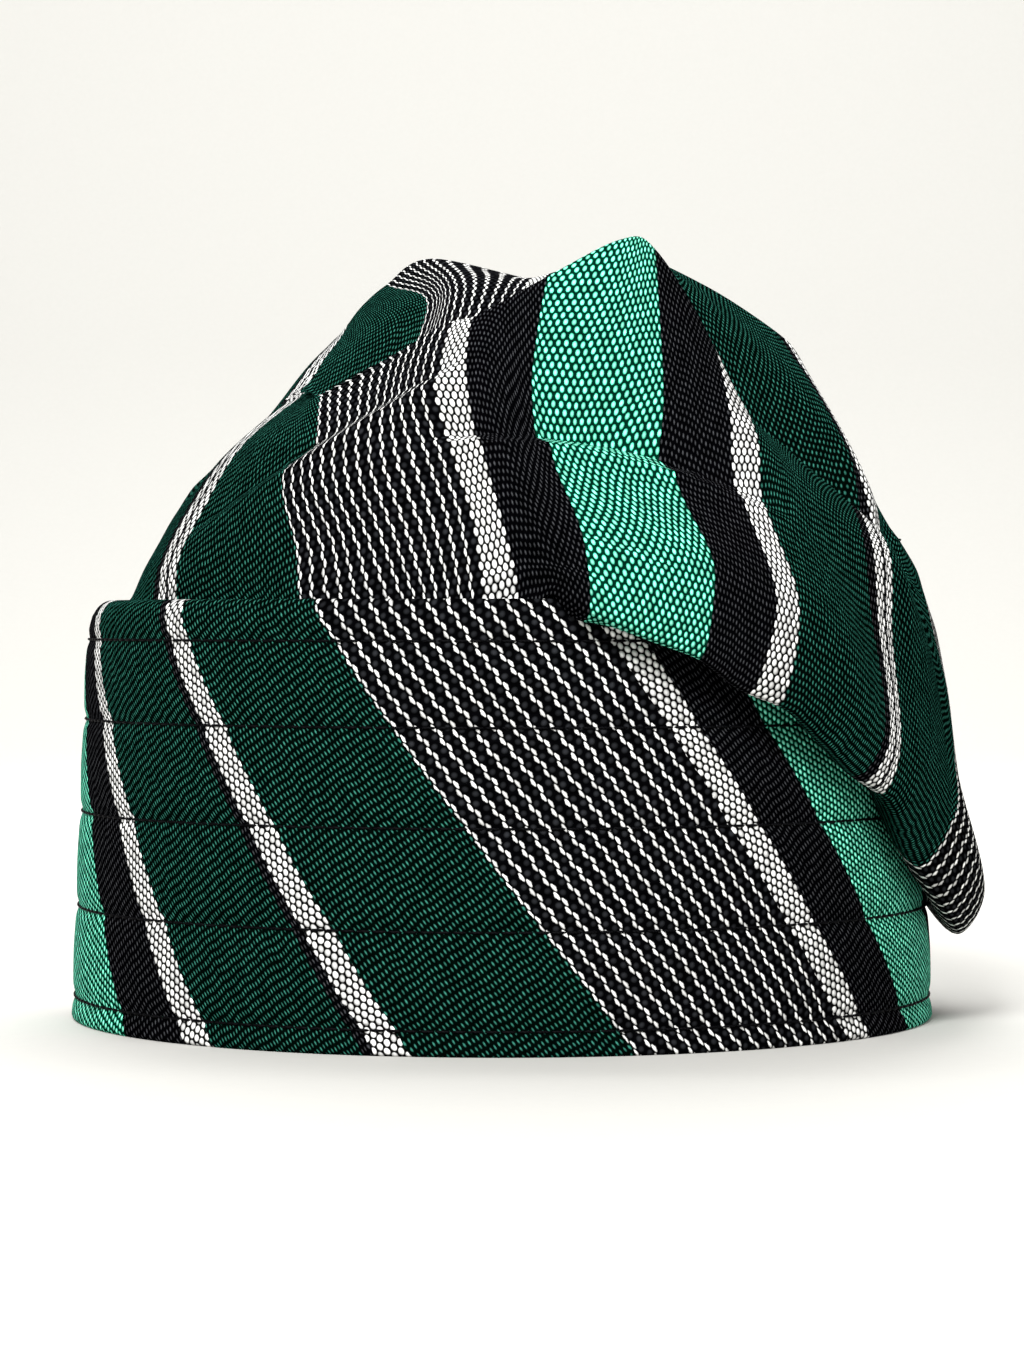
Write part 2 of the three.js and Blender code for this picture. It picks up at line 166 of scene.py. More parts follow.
# The cloth across one repeat of its stripes.
# Columns: width, warp threads on the crown, warp threads on the band, colour.
STRIPES = (
    (34, 76, 76, "green"),
    (38, 56, 56, "pin"),
    (7, 10, 8, "white"),
    (14.5, 34, 34, "black"),
    (26, 36, 46, "mint"),
    (14.5, 34, 34, "black"),
    (6.5, 10, 8, "white"),
    (34, 76, 76, "green"),
    (2, 5, 5, "black"),
    (3.9, 5, 4, "white"),
    (0.2, 2, 0, "black"),
    (3.9, 5, 4, "white"),
)
CROWN, BAND = 1, 2
STRIPE_COLOURS = [row[-1] for row in STRIPES]

# In the pinstripe two of every four threads are white, and thinner than the black ones beside them.
PIN_STRIPE = STRIPE_COLOURS.index("pin")
PIN_THREADS = 4
PIN_WHITES = 2
PIN_WHITE_SHARE = 0.32

# The distance between picks, and the grains to a pick where the band's yarn is beaten closer. At the hanging
# foot of the crown the picks lie closer by a share that dies away over a distance.
PICK = 1.7
BAND_GRAINS = {"mint": 1.35, "white": 1.2}
PICKS_CLOSER = 0.25
PICKS_CLOSER_OVER = 25.0

# The same cloth on the band, cut on the bias.
# Columns: cloth, arc from the front's middle at the rim and at the top.
BAND_EDGES = np.array([
    (-240, -298, -349),
    (-91, -138, -189),
    (-65, -90, -141),
    (-50.5, -69.5, -126),
    (-44, -61, -120),
    (-8, -24.5, -84),
    (0, -17, -77.5),
    (34, 26.5, -41),
    (72, 79, 16.5),
    (79, 87.5, 23.5),
    (93.5, 106, 38),
    (119.5, 145, 75),
    (320, 389, 319),
], float)
BAND_BIAS = math.radians(35)

# Where the stripes lie on the crown's front: on their own ribs, but for the outlines and for what is behind
# the lip, where the fold takes up some cloth.
# Columns: rib, then cloth at the foot, belly, waist, brow, lip, hollow, face and crest.
STRIPE_PLACES = np.array([
    (-46, -40, -40, -40, -40, -40, -36, -40, -45),
    (-24, -24, -24, -24, -24, -24, -16, -26, -30),
    (-16, -16, -16, -16, -16, -16, -8, -18, -22.5),
    (-7, -7, -7, -7, -7, -7, 2.5, -8.2, -14),
    (0, 0, 0, 0, 0, 0, 7, 0, -7),
    (17, 17, 17, 17, 17, 17, 19, 18, 11),
    (34, 34, 34, 34, 34, 34, 34, 34, 34),
    (117.5, 117.5, 117.5, 117.5, 117.5, 117.5, 117.5, 117.5, 117.5),
    (120.5, 120.5, 120.5, 120.5, 120.5, 120.5, 132, 140.5, 140.5),
    (134, 134, 134, 134, 134, 134, 139, 143, 143),
    (157, 157, 157, 157, 157, 157, 157.5, 159, 160),
    (172.8, 174.5, 174.5, 174.5, 174.5, 174.5, 170, 170.3, 175.6),
    (176, 176.5, 176.5, 176.5, 176.5, 176.5, 171.3, 172.2, 177.9),
    (182, 182.1, 182.1, 182.1, 182.1, 182.1, 172.5, 174.5, 180),
    (184.5, 184.5, 184.5, 184.5, 184.5, 184.5, 173, 176.7, 181),
    (195, 193, 193, 191, 190, 190, 175.5, 179.5, 184),
    (204, 206, 205, 200, 198, 197, 181, 185, 192),
    (214, 217, 218, 213, 206, 204, 190, 191, 199),
    (235, 229, 230, 222, 212, 207, 198, 196, 207),
    (268, 250, 249, 246, 240, 234, 222, 214, 221),
], float)

# Which step of LEVEL_STEPS ends at each of those columns. The step to the lip's back has no column.
STRIPE_STEPS = [0, 1, 2, 3, 4, 6, 7, 8]

# The back's own stripes, which the cloth takes on below the crest and away from the outlines.
# Columns: rib, cloth.
BACK_PLACES = np.array([(-46, -46), (184.5, 184.5), (268, 230)], float)
BACK_TURN = 50.0
BACK_EDGE_SHARE = 0.15

# How far the picks are pulled askew on the crown. Columns: cloth, lean below the second pleat and above it.
LEAN_PLEAT = 1
PICK_LEAN = np.array([
    (-46, 61.5, 61.5),
    (34, 13.5, 13.5),
    (55, 4, 4),
    (79, 0, 0),
    (93.5, 0, 5),
    (119.5, 0, -5.5),
    (134, 0, 0),
    (268, 0, 0),
], float)

# Each yarn as it shows on the face. Columns: yarn, a grain's half width in threads and half length in picks,
# then the colour between grains (the dark weft below, darkened further by painted shade in the hollows), on
# a grain's side (the yarn's own colour) and on its top (a painted highlight that stands in for the cotton's
# lustre).
YARNS = (
    ("green", 0.58, 0.41, "#010604", "#082019", "#337465"),
    ("black", 0.58, 0.40, "#020203", "#0f1011", "#3f4043"),
    ("white", 0.80, 0.56, "#060606", "#c2c2c0", "#f4f4f2"),
    ("mint", 0.64, 0.50, "#012317", "#3cc49c", "#98ecd4"),
    ("pin", 0.70, 0.60, "#040405", "#c4c4c1", "#f6f6f4"),
    ("pin black", 0.72, 0.44, "#030304", "#0e0f10", "#222326"),
)

# Threads and picks wander by up to half of these shares of their width, by noise of so many cells to a
# thread.
WANDER = (0.9, 0.7, 0.0)
WANDER_CELLS = 0.11

# A stripe starts this part of a thread early, so that a count of zero is in the first one.
JUST_BEFORE = 0.001

# A grain's colour goes from the gap's to its side's over the first share of its height, a painted shade on
# its low flanks, and on to its top's from the second share up, a painted highlight. Each grain has a tone of
# its own between two.
GRAIN_RELIEF = 0.35
GRAIN_PAINTED_SHADE_TO = 0.45
GRAIN_PAINTED_HIGHLIGHT_FROM = 0.35
GRAIN_TONES = (0.6, 1.25)

# Sewing thread. A stitch's shape is the rings along it and the sides round it.
THREAD = 0.6
THREAD_TWIST = 0.8
STITCH = 3.3
STITCH_GAP = 0.02
STITCH_PINCH = 0.02
STITCH_LIFT = 0.02
STITCH_BOW = 0.2
STITCH_SHAPE = (7, 6)

# Studio: paper that lies level up to its bend and stands behind it, a pale sky, lights and the camera.
PAPER_HALF_WIDTH = 4000.0
PAPER_FRONT = -3000.0
PAPER_BEND_FROM = 1600.0
PAPER_BEND = 800.0
PAPER_BEND_ROWS = 12
PAPER_TOP = 4000.0
PAPER_TOOTH = 10 / 3
SKY_STRENGTH = 0.35
CAMERA_PLACE = (2.17, -942.0, 85.3)
CAMERA_DIP_DEGREES = 0.825
CAMERA_LENS = 114.5
CAMERA_SENSOR = 36.0
CAMERA_NEAR = 50.0

# Columns: light, place, aim, side, watts.
LIGHTS = (
    ("key", (-400, -1400, 1150), (0, 0, 100), 500, 54.0),
    ("fill", (1200, -1200, 600), (0, 0, 100), 900, 10.0),
    ("back", (0, 1100, 1300), (0, -100, 0), 1000, 24.0),
    ("backdrop", (0, 600, 1700), (0, 2400, 500), 1400, 62.0),
)


def ease(x):
    """The smooth rise from 0 to 1: three x squared less two x cubed, level beyond both ends."""
    x = np.clip(x, 0.0, 1.0)
    return x * x * (3.0 - 2.0 * x)


def lerp(a, b, share):
    """A share of the straight way from a to b."""
    return a + (b - a) * share


def cells(grid):
    """What a grid holds at the four corners of each of its cells, going round the cell."""
    return np.stack([grid[:-1, :-1], grid[:-1, 1:], grid[1:, 1:], grid[1:, :-1]], 2)


def through(knots, values, at):
    """A cubic through values at knots. The slope at a knot is the mean of the slopes beside it, weighted
    by spacing, and it is level at the ends."""
    gap = np.diff(knots)
    slope = np.diff(values) / gap
    tangent = np.zeros(len(knots))
    tangent[1:-1] = (gap[1:] * slope[:-1] + gap[:-1] * slope[1:]) / (gap[1:] + gap[:-1])
    i = np.clip(np.searchsorted(knots, at, side="right") - 1, 0, len(gap) - 1)
    t = (at - knots[i]) / gap[i]
    h = 2 * t**3 - 3 * t**2
    rise = (t**3 - 2 * t**2 + t) * tangent[i] + (t**3 - t**2) * tangent[i + 1]
    return (1 + h) * values[i] - h * values[i + 1] + gap[i] * rise


def carry(stops, counts):
    """Each column's smooth curve through its stops, a cubic whose speed goes with the square root of the
    distance between stops, cut into so many rows between one stop and the next."""
    line = np.concatenate([2 * stops[:1] - stops[1:2], stops, 2 * stops[-1:] - stops[-2:-1]])
    # stops that coincide still count as a little way apart
    apart = np.linalg.norm(np.diff(line, axis=0), axis=-1, keepdims=True)
    gap = np.sqrt(np.maximum(apart, LEAST_GAP))
    rows = []
    for k, count in enumerate(counts):
        p0, p1, p2, p3 = line[k:k + 4]
        a, b, c = gap[k:k + 3]
        m1 = b * ((p1 - p0) / a - (p2 - p0) / (a + b) + (p2 - p1) / b)
        m2 = b * ((p2 - p1) / b - (p3 - p1) / (b + c) + (p3 - p2) / c)
        t = (np.arange(count) / count)[:, None, None]
        h = 2 * t**3 - 3 * t**2
        rows.append((1 + h) * p1 - h * p2 + (t**3 - 2 * t**2 + t) * m1 + (t**3 - t**2) * m2)
    return np.concatenate(rows + [stops[-1:]])


def on_band(angle, offset, height):
    """The band's oval: its half width and half depth shrink evenly from rim to top, the width a little
    more above the top row of stitches, and both grow by the offset."""
    share = height / BAND_HEIGHT
    lean = BAND_LEAN * ease((height - BAND_LEAN_FROM) / (BAND_HEIGHT - BAND_LEAN_FROM))
    half_width = lerp(*BAND_HALF_WIDTH, share) + offset - lean
    half_depth = lerp(*BAND_HALF_DEPTH, share) + offset
    x, y = half_width * np.cos(angle), half_depth * np.sin(angle)
    return np.stack(np.broadcast_arrays(x, y, height), -1)


def first_threads(piece):
    """The count of warp threads before each stripe of a piece's cloth, and in the whole repeat."""
    return np.cumsum([0.0] + [row[piece] for row in STRIPES]).tolist()


def thread_count(cloth, piece):
    """Millimetres across a piece's cloth to warp threads: straight within each stripe, and the repeat
    goes on both ways."""
    width = np.cumsum([0] + [row[0] for row in STRIPES])
    count = first_threads(piece)
    turns = np.floor(cloth / width[-1])
    return turns * count[-1] + np.interp(cloth - turns * width[-1], width, count)


def front_level(cloth, level, depth, power=0.5):
    """One level of the front's ribs: x and z by the rib table, y forward by a half-ellipse between the
    level's ends, or by a parabola when the power is one."""
    x = through(RIBS[:, 0], RIBS[:, 1 + 2 * level], cloth)
    z = through(RIBS[:, 0], RIBS[:, 2 + 2 * level], cloth)
    left, right = RIBS[0, 1 + 2 * level], RIBS[-1, 1 + 2 * level]
    across = np.clip((2 * x - left - right) / (right - left), -1, 1)
    return np.stack([x, -depth(z) * (1 - across**2) ** power, z], -1)


def proud(hang, height):
    """How far the hanging cloth stands off, easing in below a height."""
    return HANG_PROUD * hang * ease((HANG_PROUD_TOP - height) / HANG_PROUD_SPAN)


def front_levels(cloth, hang):
    """The front from its foot to its crest: the wall's four levels, the lip, the lip's back, the hollow,
    the face and the crest."""
    share = (cloth - cloth[0]) / (cloth[-1] - cloth[0])
    wall = [front_level(cloth, level, lambda z: np.interp(z, *FRONT.T) + proud(hang, z))
            for level in (FOOT, BELLY, WAIST, BROW)]
    lip = front_level(cloth, LIP, lambda z: LIP_DEPTH)
    face = front_level(cloth, FACE, lambda z: FACE_DEPTH)
    crest = front_level(cloth, CREST, lambda z: -CREST_SETBACK, power=1.0)
    fold = ease((np.sin(math.pi * share) - FOLD_START) / FOLD_SPAN)[:, None]
    hollow = lerp(lip, face, lerp(*HOLLOW_PLACE, fold))
    sunk = np.minimum(lip[:, 2], face[:, 2]) - HOLLOW_SINK
    hollow[:, 2] = lerp(hollow[:, 2], sunk, fold[:, 0])
    lip_back = lerp(lip, hollow, lerp(*LIP_BACK_PLACE, fold))
    lip_back[:, 2] = lerp(lip_back[:, 2], lip[:, 2], LIP_BACK_RISE * fold[:, 0])
    return np.stack(wall + [lip, lip_back, hollow, face, crest])


def back_hang(across):
    """How much a place across the back hangs outside the band, from 0 to 1."""
    return ease((across - BACK_HANG_START) / BACK_HANG_SPAN)


def back_levels(front):
    """The back between the same outlines and with the same crest: half-ellipses that spread towards the
    crest's x."""
    share = np.linspace(0, 1, front.shape[1])
    levels = []
    for k, (height, back, spread) in enumerate(BACK_LEVELS):
        left, right = front[k, 0], front[k, -1]
        middle, half = (left[0] + right[0]) / 2, (right[0] - left[0]) / 2
        even = middle - half * np.cos(math.pi * share)
        x = lerp(even, front[-1, :, 0], spread * np.sin(math.pi * share))
        across = np.clip((x - middle) / half, -1, 1)
        beyond = np.maximum(0, (across - BACK_LEVEL_SHARE) / (1 - BACK_LEVEL_SHARE))
        drop = np.where(across < 0, across**2, beyond**2)
        z = lerp(height, np.where(across < 0, left[2], right[2]), drop)
        depth = (back + proud(back_hang(across), z)) * np.sqrt(1 - across**2)
        levels.append(np.stack([x, depth, z], -1))
    return np.stack(levels + [front[-1]])


def under_levels(foot, hang):
    """The cloth below the crown's foot: it follows a path beside the band's wall, up the inside, over
    the round top and down the outside, for as much of that path as it hangs, and then runs straight to
    the foot."""
    angle = np.arctan2(foot[:, 1] / BAND_HALF_DEPTH[1], foot[:, 0] / BAND_HALF_WIDTH[1])
    turn = np.radians(TOP_ANGLES)
    bend = BAND_TOP_ROUND + CROWN_GAP
    bend_from = BAND_HEIGHT - BAND_TOP_ROUND
    inside = [-BAND_WALL - CROWN_GAP] * len(TUCK_HEIGHTS)
    offset = np.concatenate([inside, bend * np.cos(turn) - BAND_TOP_ROUND, [CROWN_GAP]])
    rise = np.concatenate([TUCK_HEIGHTS, bend_from + bend * np.sin(turn)])
    outside = np.minimum(foot[:, 2] + EDGE_RISE, bend_from - BELOW_TOP_ROUND)
    height = np.concatenate([np.repeat(rise[:, None], len(foot), 1), [outside]])
    last = len(offset) - 1
    end = lerp(1, last, hang)
    column = np.arange(len(foot))
    rows = []
    for k in range(last + 1):
        along = np.minimum(k, end)
        i = np.minimum(along.astype(int), last - 1)
        f = along - i
        out = lerp(offset[i], offset[i + 1], f)
        stop = on_band(angle, out, lerp(height[i, column], height[i + 1, column], f))
        rest = np.maximum(0, (k - end) / (last + 1 - end))[:, None]
        rows.append(lerp(stop, foot, rest))
    return np.stack(rows)


def pleat_fields(x, z):
    """For each pleat, a bowed line: the set-back (a step behind the line that dies away above it, less a
    lip that swells below it) and the sideways slip of the stripes, both faded at the line's ends. Also
    which side of the pleat that turns the picks a place is on."""
    back, slip, sides = np.zeros_like(x), np.zeros_like(x), []
    for x0, z0, x1, z1, x2, z2, step, lip, reach, slide in PLEATS:
        t = np.clip((x - x0) / (x2 - x0), 0, 1)
        bow = z1 - lerp(z0, z2, (x1 - x0) / (x2 - x0))
        rise = z - lerp(z0, z2, t) - 4 * bow * t * (1 - t)
        above = rise * (x2 - x0) / math.hypot(x2 - x0, z2 - z0)
        side = ease(above / PLEAT_BLEND + 0.5)
        fade = np.sqrt(np.sin(math.pi * t))
        forward = lip * np.exp(np.minimum(above, 0) / reach) * (1 - side)
        back += fade * (step * np.exp(-np.maximum(above, 0) / reach) * side - forward)
        slip += fade**3 * slide * (side - 0.5) * np.exp(-np.abs(above) / (SLIP_REACH * reach))
        sides.append(side)
    return back, slip, sides[LEAN_PLEAT]


def along_rows(points):
    """Distance along each column, from its first row."""
    step = np.linalg.norm(np.diff(points, axis=0), axis=-1)
    return np.concatenate([np.zeros((1, points.shape[1])), np.cumsum(step, axis=0)])


def stripe_place(cloth, rows):
    """Where each point of the front lies across the stripes: straight between the table's ribs and
    levels."""
    marks = (sum(UNDER_STEPS) + np.cumsum(LEVEL_STEPS))[STRIPE_STEPS]
    ends = np.stack([np.interp(cloth, STRIPE_PLACES[:, 0], column) for column in STRIPE_PLACES.T[1:]])
    share = np.interp(np.arange(rows), marks, np.arange(len(ends)))
    i = np.minimum(share.astype(int), len(ends) - 2)
    return lerp(ends[i], ends[i + 1], (share - i)[:, None])


def back_place(cloth, front_place, below):
    """Where the back lies across the stripes: as the front at the crest, easing below it to the back's
    own even spread, and towards the right and left edges to what the front has there, so the stripes go
    on round them."""
    turned = ease(below / BACK_TURN)
    own = lerp(front_place[-1], np.interp(cloth, *BACK_PLACES.T), turned)
    near = (RIBS[-1, 0] - RIBS[0, 0]) * BACK_EDGE_SHARE
    right = ease((cloth - RIBS[-1, 0]) / near + 1)
    left = ease((RIBS[0, 0] - cloth) / near + 1)
    return own + right * (front_place - own)[:, -1:] + left * (front_place - own)[:, :1]


def crown_shape():
    """The crown's skin as two panels of rows and columns, front and back, each with its cloth
    coordinates: across the stripes, and along them from the foot of the front or from the crest of the
    back."""
    cloth = np.linspace(RIBS[0, 0], RIBS[-1, 0], FRONT_COLUMNS + 1)
    hang = ease((cloth - HANG_START) / HANG_SPAN)
    counts = UNDER_STEPS + LEVEL_STEPS
    levels = front_levels(cloth, hang)
    front = carry(np.concatenate([under_levels(levels[0], hang), levels]), counts)
    back_stops = back_levels(levels)
    foot = back_stops[0, :, 0]
    across = (2 * foot - foot[0] - foot[-1]) / (foot[-1] - foot[0])
    back = carry(np.concatenate([under_levels(back_stops[0], back_hang(across)), back_stops]), counts)
    back[:, 0], back[:, -1] = front[:, 0], front[:, -1]
    # the pleats lie between the foot and the lip, and fade towards both and towards the outlines
    foot_row = sum(UNDER_STEPS) + LEVEL_STEPS[FOOT]
    lip_row = sum(UNDER_STEPS) + sum(LEVEL_STEPS[:LIP + 1])
    set_back, slip, upper = pleat_fields(front[..., 0], front[..., 2])
    row = np.arange(len(front))[:, None]
    free = ease((row - foot_row) / PLEAT_FADE_ROWS) * ease((lip_row - row) / PLEAT_FADE_ROWS)
    free = free * ease((PLEAT_BACKMOST - front[..., 1]) / PLEAT_FADE)
    front[..., 1] += free * set_back
    place = stripe_place(cloth, len(front))
    along = along_rows(front)
    along -= along[foot_row]
    # the picks lie closer near the hanging foot, and lean
    settled = 1 - np.exp(-np.maximum(along, 0) / PICKS_CLOSER_OVER)
    along += hang * PICKS_CLOSER * PICKS_CLOSER_OVER * settled
    lean = [np.interp(cloth, PICK_LEAN[:, 0], column) for column in PICK_LEAN.T[1:]]
    along += lerp(*lean, upper)
    below = along_rows(back[::-1])[::-1]
    back_across = back_place(cloth, place, below)
    return (front, place + free * slip, along), (back[:, ::-1], back_across[:, ::-1], below[:, ::-1])


def crown_mesh():
    """The crown's wall: the ring of both panels, joined along the crest, the same skin one wall further
    in, and the strip between their lower edges. Texture coordinates count warp threads and picks."""
    panels = crown_shape()
    front, back = panels[0][0], panels[1][0]
    ring = np.concatenate([front[:-1], back[:-1, 1:-1]], axis=1)
    points = np.concatenate([ring.reshape(-1, 3), front[-1]])
    index = np.arange(ring.size // 3).reshape(ring.shape[:2])
    crest = np.concatenate([np.arange(FRONT_COLUMNS + 1), np.arange(FRONT_COLUMNS - 1, 0, -1)])
    index = np.concatenate([index, index.size + crest[None]])
    index = np.concatenate([index, index[:, :1]], axis=1)
    threads = [np.stack([thread_count(across, CROWN), along / PICK], -1) for _, across, along in panels]
    uv = np.concatenate([cells(grid) for grid in threads], axis=1)
    outer, outer_uv = cells(index).reshape(-1, 4), uv.reshape(-1, 4, 2)
    normal = np.zeros_like(points)
    corner = points[outer]
    facing = np.cross(corner[:, 2] - corner[:, 0], corner[:, 3] - corner[:, 1])
    np.add.at(normal, outer.ravel(), np.repeat(facing, 4, axis=0))
    normal /= np.linalg.norm(normal, axis=1, keepdims=True)
    shift = len(points)
    edge = index[0]
    strip = np.stack([edge[:-1], edge[:-1] + shift, edge[1:] + shift, edge[1:]], -1)
    strip_uv = uv[0][:, [0, 0, 1, 1]]
    faces = np.concatenate([outer, outer[:, ::-1] + shift, strip])
    uvs = np.concatenate([outer_uv, outer_uv[:, ::-1], strip_uv])
    return np.concatenate([points, points - CROWN_WALL * normal]), faces, uvs


def band_arc(angle):
    """Distance round the band's oval at half height, from the front's middle, to the right of it above
    zero."""
    fine = np.linspace(-math.pi, math.pi, GIRTH_STEPS + 1)
    ring = on_band(fine - math.pi / 2, 0.0, BAND_HEIGHT / 2)
    arc = np.concatenate([[0], np.cumsum(np.linalg.norm(np.diff(ring, axis=0), axis=1))])
    return np.interp(angle, fine, arc - arc[-1] / 2)


def band_section():
    """The band's wall in section, as offset and height: up the outside, over the top, down the inside
    and across the rim. Also which of its points are the outside's."""
    over = np.radians(np.linspace(0, 90, BAND_TOP_ROWS + 1))[1:]
    under = np.radians(np.linspace(-90, 0, BAND_RIM_ROWS + 1))[:-1]
    top = BAND_HEIGHT - BAND_TOP_ROUND
    outside = np.linspace(BAND_RIM_ROUND, top, BAND_OUTSIDE_ROWS)
    inside = np.linspace(BAND_HEIGHT - BAND_INSIDE_DROP, BAND_RIM_ROUND, BAND_INSIDE_ROWS)
    offset = np.concatenate([
        BAND_RIM_ROUND * (np.cos(under) - 1),
        np.zeros_like(outside),
        BAND_TOP_ROUND * (np.cos(over) - 1),
        np.full_like(inside, -BAND_WALL),
        BAND_RIM_ROUND * (1 - np.cos(under[::-1])) - BAND_WALL,
    ])
    height = np.concatenate([
        BAND_RIM_ROUND * (1 + np.sin(under)),
        outside,
        top + BAND_TOP_ROUND * np.sin(over),
        inside,
        BAND_RIM_ROUND * (1 + np.sin(under[::-1])),
    ])
    return offset, height, BAND_RIM_ROWS + np.arange(BAND_OUTSIDE_ROWS)


def band_relief(height):
    """The sewn wall's outside: a narrow groove at each row of stitches and a soft swell between two
    rows."""
    gap = np.min(np.abs(height[..., None] - np.array(SEWN_ROWS)), axis=-1)
    groove = -SEWN_GROOVE * np.exp(-(gap / SEWN_GROOVE_WIDTH) ** 2)
    return groove + PANEL_PUFF * (1 - np.exp(-(gap / PANEL_PUFF_WIDTH) ** 2))


def band_mesh():
    """The band's section carried round its oval, closed both ways, with a pressed seam down the middle
    of the back. Texture coordinates count warp threads and picks."""
    offset, height, outside = band_section()
    turn = np.linspace(-math.pi, math.pi, BAND_COLUMNS + 1)
    arc = band_arc(turn)
    seam = BACK_SEAM_DEPTH * np.exp(-((arc[-1] - np.abs(arc)) / BACK_SEAM_WIDTH) ** 2)
    out = np.repeat(offset[:, None], len(turn), 1)
    out[outside] += band_relief(height[outside])[:, None] - seam
    points = on_band(turn[:-1] - math.pi / 2, out[:, :-1], height[:, None])
    index = np.arange(points.size // 3).reshape(points.shape[:2])
    index = np.concatenate([index, index[:, :1]], axis=1)
    index = np.concatenate([index, index[:1]])
    stripe, at_rim, at_top = BAND_EDGES.T
    share = np.clip(height / BAND_HEIGHT, 0, 1)
    across = np.stack([np.interp(arc, lerp(at_rim, at_top, k), stripe) for k in share])
    along = arc * math.sin(BAND_BIAS) - height[:, None] * math.cos(BAND_BIAS)
    grid = np.stack([thread_count(across, BAND), along / PICK], -1)
    grid = np.concatenate([grid, grid[:1]])
    return points.reshape(-1, 3), cells(index).reshape(-1, 4), cells(grid).reshape(-1, 4, 2)


def stitch_mesh():
    """Every stitch: a short bowed rod of thread with pinched ends, laid along its row in the groove."""
    rings, sides = STITCH_SHAPE
    count = int(2 * band_arc(math.pi) / STITCH)
    along = np.linspace(0, 1, rings)
    around = np.arange(sides) * 2 * math.pi / sides
    thick = THREAD / 2 * np.sqrt(np.clip(1 - (2 * along - 1) ** 4, STITCH_PINCH, 1))[:, None]
    lift = STITCH_LIFT + STITCH_BOW * np.sin(math.pi * along)[:, None]
    place = np.arange(count)[:, None] + STITCH_GAP / 2 + (1 - STITCH_GAP) * along
    turn = 2 * math.pi * place[:, :, None] / count - math.pi
    points = []
    for row in SEWN_ROWS:
        out = band_relief(np.array(row)) + lift + thick * np.cos(around)
        points.append(on_band(turn - math.pi / 2, out, row + thick * np.sin(around)))
    index = np.arange(rings * sides).reshape(rings, sides)
    first = np.arange(count * len(SEWN_ROWS))[:, None] * rings * sides
    caps = np.concatenate([index[0, ::-1] + first, index[-1] + first])
    index = np.concatenate([index, index[:, :1]], axis=1)
    walls = cells(index).reshape(-1, 4) + first[:, :, None]
    return np.concatenate(points).reshape(-1, 3), walls.reshape(-1, 4), caps


def band_axis():
    """Where the band's axis meets the floor in the part's own frame."""
    low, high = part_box("band")
    return np.array([(low.x + high.x) / 2, (low.y + high.y) / 2, 0.0])


def add_piece(name, points, faces, material, uvs=None, more_faces=()):
    """A mesh object at the origin, from points in millimetres about the band's axis."""
    mesh = bpy.data.meshes.new(name)
    listed = faces.tolist() + np.asarray(more_faces).tolist()
    mesh.from_pydata((points * MM + band_axis()).tolist(), [], listed)
    if uvs is not None:
        layer = mesh.uv_layers.new(name="threads")
        layer.data.foreach_set("uv", uvs.astype(np.float32).ravel())
    mesh.polygons.foreach_set("use_smooth", np.ones(len(mesh.polygons), bool))
    mesh.materials.append(material)
    mesh.update()
    piece = bpy.data.objects.new(name, mesh)
    bpy.context.scene.collection.objects.link(piece)
    return piece


def colour(code):
    """An sRGB hex colour as linear red, green, blue and full alpha."""
    srgb = np.array([int(code[i:i + 2], 16) for i in (1, 3, 5)]) / 255
    linear = np.where(srgb <= 0.04045, srgb / 12.92, ((srgb + 0.055) / 1.055) ** 2.4)
    return (*linear.tolist(), 1.0)


def add(tree, kind, inputs=(), **settings):
    """Adds a node, sets its settings, and links or sets its inputs, given in order or by name."""
    node = tree.nodes.new("ShaderNode" + kind)
    for key, value in settings.items():
        setattr(node, key, value)
    for key, value in inputs.items() if isinstance(inputs, dict) else enumerate(inputs):
        if isinstance(value, bpy.types.Node):
            value = value.outputs[0]
        if isinstance(value, bpy.types.NodeSocket):
            tree.links.new(value, node.inputs[key])
        elif value is not None:
            node.inputs[key].default_value = value
    return node


def new_material(name):
    """An empty node material with its output."""
    material = bpy.data.materials.new(name)
    material.use_nodes = True
    material.node_tree.nodes.clear()
    return material, material.node_tree, add(material.node_tree, "OutputMaterial")


def in_pinstripe(tree, warp, piece):
    """One for a warp thread of the pinstripe and zero for the others."""
    first, beyond = first_threads(piece)[PIN_STRIPE:PIN_STRIPE + 2]
    after = add(tree, "Math", (warp, first), operation="GREATER_THAN")
    before = add(tree, "Math", (warp, beyond), operation="LESS_THAN")
    return add(tree, "Math", (after, before), operation="MULTIPLY")


def pin_column(tree, warp, piece):
    """The warp count, uneven within the pinstripe: of each four threads, the thin white ones are counted
    off over their share of the width and the wide black ones over the rest."""
    first = first_threads(piece)[PIN_STRIPE]
    fours = add(tree, "Math", (warp, 1 / PIN_THREADS, -first / PIN_THREADS), operation="MULTIPLY_ADD")
    share = add(tree, "Math", (fours,), operation="FRACT")
    thin = add(tree, "Math", (share, PIN_WHITES / PIN_WHITE_SHARE), operation="MULTIPLY")
    slow = (PIN_THREADS - PIN_WHITES) / (1 - PIN_WHITE_SHARE)
    wide = add(tree, "Math", (share, slow, PIN_WHITES - slow * PIN_WHITE_SHARE), operation="MULTIPLY_ADD")
    inside = add(tree, "Math", (thin, wide), operation="MINIMUM")
    whole = add(tree, "Math", (fours,), operation="FLOOR")
    counted = add(tree, "Math", (whole, float(PIN_THREADS), first), operation="MULTIPLY_ADD")
    uneven = add(tree, "Math", (counted, inside), operation="ADD")
    return add(tree, "Mix", {"Factor": in_pinstripe(tree, warp, piece), "A": warp, "B": uneven})


